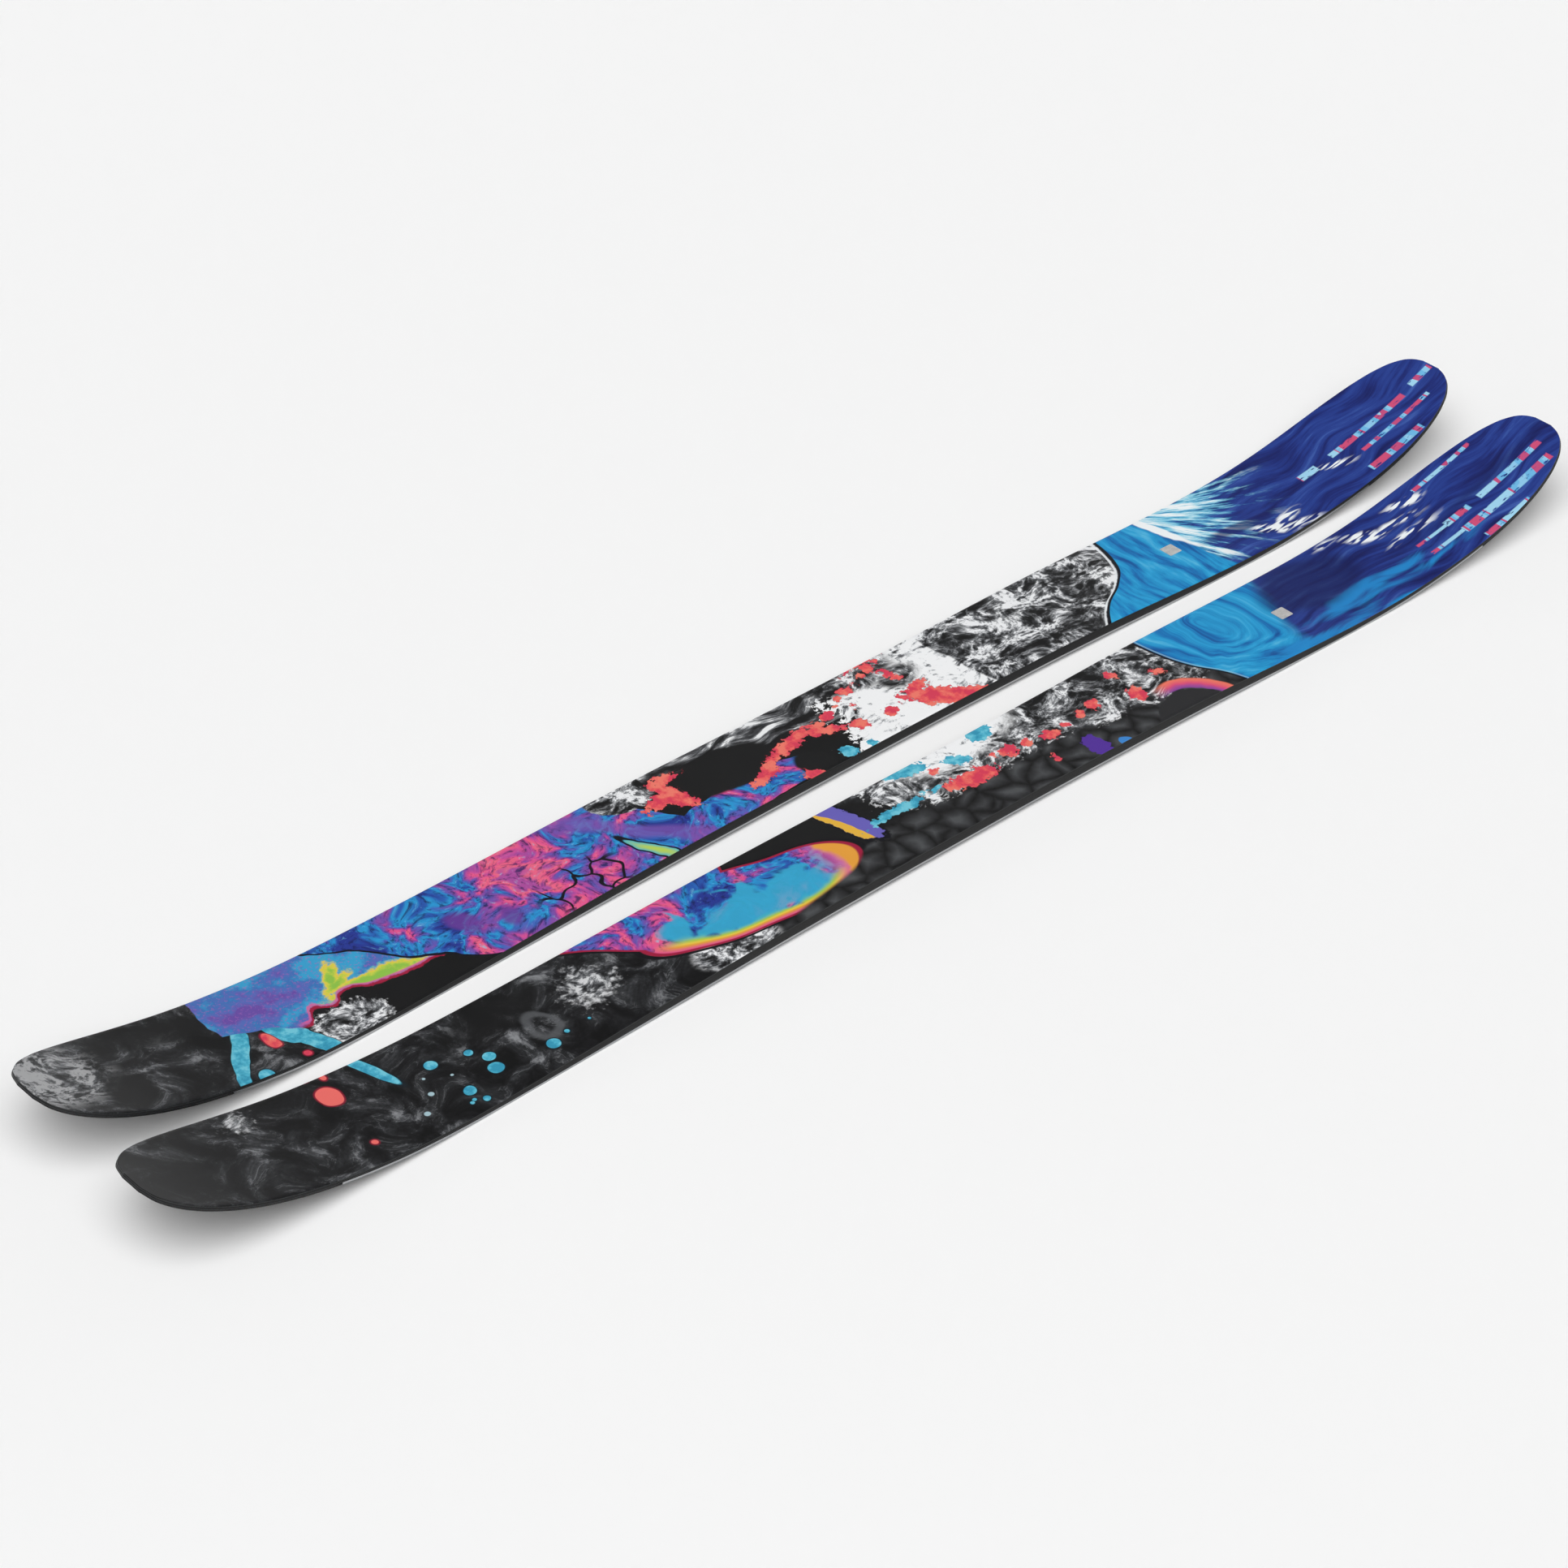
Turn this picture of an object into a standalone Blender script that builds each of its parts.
"""A pair of twin-tip freeride skis without bindings, laid side by side on the floor.

Frame: metres, +Z up, origin on the floor at the middle of the pair. The tips point to -X, so the left
ski lies on the -Y side. Along a ski, s is the distance from the tip's nose, across is the distance from
the centre line, and height is measured up from the running surface, square to it.

Each ski is a sandwich that is glued in a press. From the snow up it holds the base sheet and the steel
edges, a rubber foil on each edge's anchor, the lower laminate, a core of five wood staves between two
sidewalls with a spacer at each end, a plate that holds the binding's screws, the upper laminate, the
topsheet and a small label. Every layer has its sections at the same stations, so that the facets of
neighbours run parallel and a thin glue line stays between them.
"""
from math import atan, ceil, cos, pi, radians, sin

import bmesh
import bpy
from mathutils import Vector

# Outline of one ski
LENGTH = 1.800
TIP_WIDTH = 0.131
WAIST_WIDTH = 0.113
TAIL_WIDTH = 0.128
TIP_WIDEST_AT = 0.240          # from the tip
TAIL_WIDEST_AT = 0.260         # from the tail
WAIST_BEHIND_MIDDLE = 0.080
TIP_ROUND = 0.185              # length of the rounded nose
TAIL_ROUND = 0.200
TIP_BLUNTNESS = 3.08           # exponent of the rounding curve, where 2 is an ellipse
TAIL_BLUNTNESS = 2.89
NOSE_HALF_WIDTH = 0.012        # straight bit at the very end of the tip and of the tail

# Side view of one ski
TIP_RISE = 0.0708
TIP_ROCKER = 0.383             # length that curves up off the floor
TIP_CURL = 2.61                # exponent of that curve
TAIL_RISE = 0.0707
TAIL_ROCKER = 0.374
TAIL_CURL = 2.31
CAMBER = 0.004
BINDING_ZONE = 0.440           # straight and level stretch under the boot
ZONE_BEHIND_MIDDLE = 0.060
SIDE_SLANT = 0.13              # how far the side leans in for each unit of height

# Layers, from the snow up
GLUE = 0.0002                  # glue line between two neighbours
BASE_SHEET = 0.0012
EDGE_WIDTH = 0.0021            # steel that shows from below
EDGE_ANCHOR = 0.0050           # width of the flange that the sheet and the laminate clamp
ANCHOR_THICKNESS = 0.0005
RUBBER_FOIL = 0.0003
LOWER_LAMINATE = 0.0005
CORE_MIDDLE = 0.0080
CORE_END = 0.0018
SPACER_END = 0.0010
UPPER_LAMINATE = 0.0006
TOPSHEET = 0.0005

# Pieces along and across the ski
CORE_FROM_END = 0.160          # where the core and the sidewalls give way to the end spacer
EDGE_BEHIND_CORE = 0.005       # the steel edge starts this far behind the core's end
STEP_RUN = 0.0003              # length over which a layer steps around the end of another
DRAPE = 0.0012                 # width over which the lower laminate steps up onto the edges' anchors
DRAPE_CLEARANCE = 0.0004
SIDEWALL_PAST_DRAPE = 0.0001   # the sidewall covers the anchor, the step and this much more
STAVE_WIDTH = 0.020
PLATE_LENGTH = 0.400
PLATE_THICKNESS = 0.0004
LABEL_SIDE = 0.0165
LABEL_THICKNESS = 0.0003
LABEL_FROM_TAIL = 0.400

# The pair
SKI_SPACING = 0.1566           # from one centre line to the other

# How finely the shape is divided
ROUND_STEPS = 8                # sections around a rounded end
ROUND_FIRST_ANGLE = radians(5)
ROCKER_STEP = 0.040
MIDDLE_STEP = 0.075
BREAK_CLEARANCE = 0.006        # no ordinary section lies nearer than this to a layer's end
SLOPE_REACH = 0.0005           # distance to each side over which a slope is measured
SAME = GLUE / 4                # stations nearer than this are one

WAIST_AT = LENGTH / 2 + WAIST_BEHIND_MIDDLE
ZONE_START = LENGTH / 2 + ZONE_BEHIND_MIDDLE - BINDING_ZONE / 2
ZONE_END = ZONE_START + BINDING_ZONE
CORE_START = CORE_FROM_END
CORE_STOP = LENGTH - CORE_FROM_END
EDGE_START = CORE_START + EDGE_BEHIND_CORE
EDGE_STOP = CORE_STOP - EDGE_BEHIND_CORE
PLATE_START = (ZONE_START + ZONE_END - PLATE_LENGTH) / 2
PLATE_STOP = PLATE_START + PLATE_LENGTH
LABEL_START = LENGTH - LABEL_FROM_TAIL - LABEL_SIDE / 2
LABEL_STOP = LABEL_START + LABEL_SIDE

ANCHOR_LOW = BASE_SHEET + GLUE
ANCHOR_HIGH = ANCHOR_LOW + ANCHOR_THICKNESS
RUBBER_LOW = ANCHOR_HIGH + GLUE
RUBBER_HIGH = RUBBER_LOW + RUBBER_FOIL
SHELF = RUBBER_HIGH + GLUE     # where the lower laminate lies over the edges
BED = BASE_SHEET + GLUE        # where it lies on the base sheet
CORE_LOW = BED + LOWER_LAMINATE + GLUE
SHELF_INSET = EDGE_WIDTH + EDGE_ANCHOR + DRAPE_CLEARANCE
SIDEWALL_WIDTH = SHELF_INSET + DRAPE + SIDEWALL_PAST_DRAPE
CORE_INSET = SIDEWALL_WIDTH + GLUE

# Colour, roughness and metallic value of each kind of piece
FINISHES = {
    "base": ((0.012, 0.012, 0.013), 0.35, 0.0),
    "steel": ((0.42, 0.43, 0.44), 0.30, 1.0),
    "rubber": ((0.02, 0.02, 0.02), 0.85, 0.0),
    "laminate": ((0.03, 0.03, 0.03), 0.40, 0.0),
    "light_wood": ((0.62, 0.45, 0.26), 0.60, 0.0),
    "dark_wood": ((0.42, 0.27, 0.14), 0.60, 0.0),
    "sidewall": ((0.010, 0.010, 0.012), 0.45, 0.0),
    "spacer": ((0.015, 0.015, 0.017), 0.45, 0.0),
    "plate": ((0.60, 0.61, 0.62), 0.40, 1.0),
    "topsheet": ((0.03, 0.09, 0.30), 0.35, 0.0),
    "label": ((0.62, 0.62, 0.62), 0.35, 1.0),
}


def ease(share):
    """A smooth step from 0 to 1."""
    share = min(max(share, 0.0), 1.0)
    return share * share * (3 - 2 * share)


def rounding(distance, reach, bluntness):
    """Share of the full width at a distance from a rounded end."""
    left = max(1 - distance / reach, 0.0)
    return (1 - left ** bluntness) ** (1 / bluntness)


def half_width(s):
    """Half the width of the running surface, steel edges included."""
    if s < WAIST_AT:
        widest = TIP_WIDTH
        reach = (WAIST_AT - s) / (WAIST_AT - TIP_WIDEST_AT)
        flare = min(reach, 1.0) ** 2
    else:
        widest = TAIL_WIDTH
        reach = (s - WAIST_AT) / (LENGTH - TAIL_WIDEST_AT - WAIST_AT)
        flare = (1 - cos(pi * min(reach, 1.0))) / 2
    half = (WAIST_WIDTH + (widest - WAIST_WIDTH) * flare) / 2
    half *= rounding(s, TIP_ROUND, TIP_BLUNTNESS)
    half *= rounding(LENGTH - s, TAIL_ROUND, TAIL_BLUNTNESS)
    return max(half, NOSE_HALF_WIDTH)


def flank(s, height):
    """Half the width at a height, where the side leans in."""
    return half_width(s) - SIDE_SLANT * height


def underside(s):
    """Height of the running surface above the floor."""
    tip = TIP_RISE * max(1 - s / TIP_ROCKER, 0.0) ** TIP_CURL
    tail = TAIL_RISE * max(1 - (LENGTH - s) / TAIL_ROCKER, 0.0) ** TAIL_CURL
    front = ease((s - TIP_ROCKER) / (ZONE_START - TIP_ROCKER))
    back = ease((LENGTH - TAIL_ROCKER - s) / (LENGTH - TAIL_ROCKER - ZONE_END))
    return tip + tail + CAMBER * front * back


def tilt(s):
    """Angle of the running surface to the floor along the ski."""
    low = max(s - SLOPE_REACH, 0.0)
    high = min(s + SLOPE_REACH, LENGTH)
    return atan((underside(high) - underside(low)) / (high - low))


def place(s, across, height):
    """A point of the ski in its own frame."""
    lean = tilt(s)
    return Vector((s - LENGTH / 2 - height * sin(lean), across, underside(s) + height * cos(lean)))


def core_thickness(s):
    """Thickness of the core, and of the spacer that takes its place at each end."""
    from_end = min(s, LENGTH - s)
    if from_end < CORE_FROM_END:
        return SPACER_END + (CORE_END - SPACER_END) * from_end / CORE_FROM_END
    if s < LENGTH / 2:
        share = (s - CORE_START) / (ZONE_START - CORE_START)
    else:
        share = (CORE_STOP - s) / (CORE_STOP - ZONE_END)
    return CORE_END + (CORE_MIDDLE - CORE_END) * ease(share)


def skin_low(s):
    """Height at which the upper laminate starts."""
    return CORE_LOW + core_thickness(s) + GLUE


def top_low(s):
    """Height at which the topsheet starts."""
    return skin_low(s) + UPPER_LAMINATE + GLUE


def shelf(s):
    """Height of the lower laminate's underside at the ski's side, where it climbs onto the edges."""
    climb = EDGE_BEHIND_CORE - STEP_RUN - GLUE
    inside = min(s - CORE_START, CORE_STOP - s)
    return BED + (SHELF - BED) * min(max(inside / climb, 0.0), 1.0)


def spread(first, last, step):
    """Evenly spaced stations from first to last, no further apart than step."""
    count = ceil((last - first) / step)
    return [first + (last - first) * i / count for i in range(count + 1)]


def rounded_stations(reach, bluntness):
    """Distances from a rounded end that divide its curve evenly."""
    sweep = pi / 2 - ROUND_FIRST_ANGLE
    angles = [ROUND_FIRST_ANGLE + sweep * i / (ROUND_STEPS - 1) for i in range(ROUND_STEPS)]
    return [0.0] + [reach * (1 - max(cos(a), 0.0) ** (2 / bluntness)) for a in angles]


def all_stations():
    """The stations that every layer shares."""
    near_core = [-GLUE, 0.0, EDGE_BEHIND_CORE - STEP_RUN - GLUE, EDGE_BEHIND_CORE - GLUE, EDGE_BEHIND_CORE]
    breaks = [CORE_START + d for d in near_core] + [CORE_STOP - d for d in near_core]
    breaks += [LABEL_START, LABEL_STOP]
    tip_round = rounded_stations(TIP_ROUND, TIP_BLUNTNESS)
    tail_round = rounded_stations(TAIL_ROUND, TAIL_BLUNTNESS)
    rounds = tip_round + [LENGTH - d for d in tail_round]
    rockers = spread(TIP_ROUND, TIP_ROCKER, ROCKER_STEP)
    rockers += spread(LENGTH - TAIL_ROCKER, LENGTH - TAIL_ROUND, ROCKER_STEP)
    middle = spread(TIP_ROCKER, ZONE_START, MIDDLE_STEP) + spread(ZONE_START, ZONE_END, MIDDLE_STEP)
    middle += spread(ZONE_END, LENGTH - TAIL_ROCKER, MIDDLE_STEP)
    ordinary = rounds + rockers + middle
    free = [s for s in ordinary if all(abs(s - b) > BREAK_CLEARANCE for b in breaks)]
    ordered = sorted(free + breaks)
    kept = [ordered[0]]
    for s in ordered[1:]:
        if s - kept[-1] > SAME:
            kept.append(s)
    return kept


STATIONS = all_stations()


def between(first, last, extra=()):
    """The shared stations from first to last, with both ends and any extra ones."""
    inside = [s for s in STATIONS if first < s < last]
    return sorted(set([first, last] + inside + list(extra)))


def loft(name, stations, section, finish):
    """A closed solid through one section at each station, made as a mesh with its material."""
    bm = bmesh.new()
    rings = []
    for s in stations:
        rings.append([bm.verts.new(place(s, across, height)) for across, height in section(s)])
    for ring, following in zip(rings, rings[1:]):
        for i in range(len(ring)):
            bm.faces.new((ring[i - 1], ring[i], following[i], following[i - 1]))
    bm.faces.new(rings[0])
    bm.faces.new(rings[-1])
    bmesh.ops.recalc_face_normals(bm, faces=bm.faces)
    mesh = bpy.data.meshes.new(name)
    bm.to_mesh(mesh)
    bm.free()
    mesh.materials.append(material(finish))
    return mesh


def material(finish):
    """The material of one kind of piece, made once."""
    found = bpy.data.materials.get(finish)
    if found:
        return found
    colour, roughness, metallic = FINISHES[finish]
    made = bpy.data.materials.new(finish)
    made.use_nodes = True
    shader = made.node_tree.nodes["Principled BSDF"]
    shader.inputs["Base Color"].default_value = (*colour, 1.0)
    shader.inputs["Roughness"].default_value = roughness
    shader.inputs["Metallic"].default_value = metallic
    return made


def full_width(s, low, high):
    """A layer's section across the whole ski, leaning in at both sides."""
    below = flank(s, low)
    above = flank(s, high)
    return [(-below, low), (below, low), (above, high), (-above, high)]


def base_section(s):
    """The base sheet, full width at the ends and let in between the steel edges."""
    beside_edge = EDGE_START - GLUE - SAME < s < EDGE_STOP + GLUE + SAME
    half = half_width(s) - EDGE_WIDTH - GLUE if beside_edge else flank(s, 0.0)
    return [(-half, 0.0), (half, 0.0), (half, BASE_SHEET), (-half, BASE_SHEET)]


def edge_section(s, side):
    """The steel edge: a bar along the ski's side, with a thin anchor reaching in over the base sheet."""
    bar = half_width(s) - EDGE_WIDTH
    anchor = bar - EDGE_ANCHOR
    outline = [(flank(s, 0.0), 0.0), (flank(s, ANCHOR_HIGH), ANCHOR_HIGH), (anchor, ANCHOR_HIGH)]
    outline += [(anchor, ANCHOR_LOW), (bar, ANCHOR_LOW), (bar, 0.0)]
    return [(side * across, height) for across, height in outline]


def rubber_section(s, side):
    """The rubber foil on the edge's anchor, which damps the bond of steel and laminate."""
    inner = half_width(s) - EDGE_WIDTH - EDGE_ANCHOR
    outer = flank(s, RUBBER_HIGH)
    outline = [(inner, RUBBER_LOW), (outer, RUBBER_LOW), (outer, RUBBER_HIGH), (inner, RUBBER_HIGH)]
    return [(side * across, height) for across, height in outline]


def lower_laminate_section(s):
    """The lower laminate, flat on the base sheet and draped up over both edges."""
    high = shelf(s)
    outer = flank(s, high + LOWER_LAMINATE)
    climb_top = min(half_width(s) - SHELF_INSET, outer - GLUE)
    climb_foot = climb_top - DRAPE
    half = [(climb_foot, BED), (climb_top, high), (outer, high)]
    under = [(-across, height) for across, height in reversed(half)] + half
    over = [(across, height + LOWER_LAMINATE) for across, height in reversed(under)]
    return under + over


def sidewall_section(s, side):
    """The sidewall, standing on the draped laminate beside the core."""
    low = shelf(s) + LOWER_LAMINATE + GLUE
    high = skin_low(s) - GLUE
    inner = half_width(s) - SIDEWALL_WIDTH
    outline = [(inner, low), (flank(s, low), low), (flank(s, high), high), (inner, high)]
    return [(side * across, height) for across, height in outline]


def stave_section(s, index):
    """One of the five staves that the core is glued from; the outer two follow the ski's outline."""
    outer = half_width(s) - CORE_INSET
    cuts = [-outer, -1.5 * STAVE_WIDTH, -0.5 * STAVE_WIDTH, 0.5 * STAVE_WIDTH, 1.5 * STAVE_WIDTH, outer]
    left = cuts[index] + (GLUE / 2 if index > 0 else 0.0)
    right = cuts[index + 1] - (GLUE / 2 if index < 4 else 0.0)
    pocket = PLATE_START - GLUE - SAME < s < PLATE_STOP + GLUE + SAME
    high = skin_low(s) - GLUE - (PLATE_THICKNESS + GLUE if pocket else 0.0)
    return [(left, CORE_LOW), (right, CORE_LOW), (right, high), (left, high)]


def plate_section(s):
    """The plate that the binding's screws bite into, let into the top of the core."""
    half = half_width(s) - CORE_INSET
    high = skin_low(s) - GLUE
    low = high - PLATE_THICKNESS
    return [(-half, low), (half, low), (half, high), (-half, high)]


def label_section(s):
    """The small square label on the topsheet."""
    low = top_low(s) + TOPSHEET + GLUE
    high = low + LABEL_THICKNESS
    half = LABEL_SIDE / 2
    return [(-half, low), (half, low), (half, high), (-half, high)]


def middle_pieces():
    """The pieces that lie on the centre line, as a dictionary of meshes."""
    whole = between(0.0, LENGTH)
    spacer = lambda s: full_width(s, CORE_LOW, skin_low(s) - GLUE)
    upper = lambda s: full_width(s, skin_low(s), skin_low(s) + UPPER_LAMINATE)
    top = lambda s: full_width(s, top_low(s), top_low(s) + TOPSHEET)
    pieces = {
        "base_sheet": loft("base_sheet", whole, base_section, "base"),
        "lower_laminate": loft("lower_laminate", whole, lower_laminate_section, "laminate"),
        "tip_spacer": loft("tip_spacer", between(0.0, CORE_START - GLUE), spacer, "spacer"),
        "tail_spacer": loft("tail_spacer", between(CORE_STOP + GLUE, LENGTH), spacer, "spacer"),
        "binding_plate": loft("binding_plate", between(PLATE_START, PLATE_STOP), plate_section, "plate"),
        "upper_laminate": loft("upper_laminate", whole, upper, "laminate"),
        "topsheet": loft("topsheet", whole, top, "topsheet"),
        "label": loft("label", between(LABEL_START, LABEL_STOP), label_section, "label"),
    }
    walls = [PLATE_START - STEP_RUN - GLUE, PLATE_START - GLUE]
    walls += [PLATE_STOP + GLUE, PLATE_STOP + GLUE + STEP_RUN]
    core = between(CORE_START, CORE_STOP, walls)
    for index in range(5):
        name = f"core_stave_{index + 1}"
        finish = "light_wood" if index % 2 else "dark_wood"
        pieces[name] = loft(name, core, lambda s, index=index: stave_section(s, index), finish)
    return pieces


def side_pieces(side):
    """The pieces of one flank: the steel edge, its rubber foil and the sidewall above them."""
    edge = between(EDGE_START, EDGE_STOP)
    core = between(CORE_START, CORE_STOP)
    return {
        "steel_edge": loft("steel_edge", edge, lambda s: edge_section(s, side), "steel"),
        "edge_rubber": loft("edge_rubber", edge, lambda s: rubber_section(s, side), "rubber"),
        "sidewall": loft("sidewall", core, lambda s: sidewall_section(s, side), "sidewall"),
    }


def add(collection, name, mesh, parent):
    """One named piece of a ski, carried by the ski's empty."""
    piece = bpy.data.objects.new(name, mesh)
    piece.parent = parent
    collection.objects.link(piece)


def build():
    """Both skis, each carried by an empty on its own centre line."""
    for leftover in list(bpy.data.objects):
        bpy.data.objects.remove(leftover, do_unlink=True)
    collection = bpy.data.collections.new("Freeride skis")
    bpy.context.scene.collection.children.link(collection)
    middle = middle_pieces()
    flanks = {side: side_pieces(side) for side in (-1, 1)}
    for ski, ski_side in (("left_ski", -1), ("right_ski", 1)):
        carrier = bpy.data.objects.new(ski, None)
        carrier.location = (0.0, ski_side * SKI_SPACING / 2, 0.0)
        collection.objects.link(carrier)
        for name, mesh in middle.items():
            add(collection, f"{ski}_{name}", mesh, carrier)
        for side, pieces in flanks.items():
            facing = "outer" if side == ski_side else "inner"
            for name, mesh in pieces.items():
                add(collection, f"{ski}_{facing}_{name}", mesh, carrier)


build()
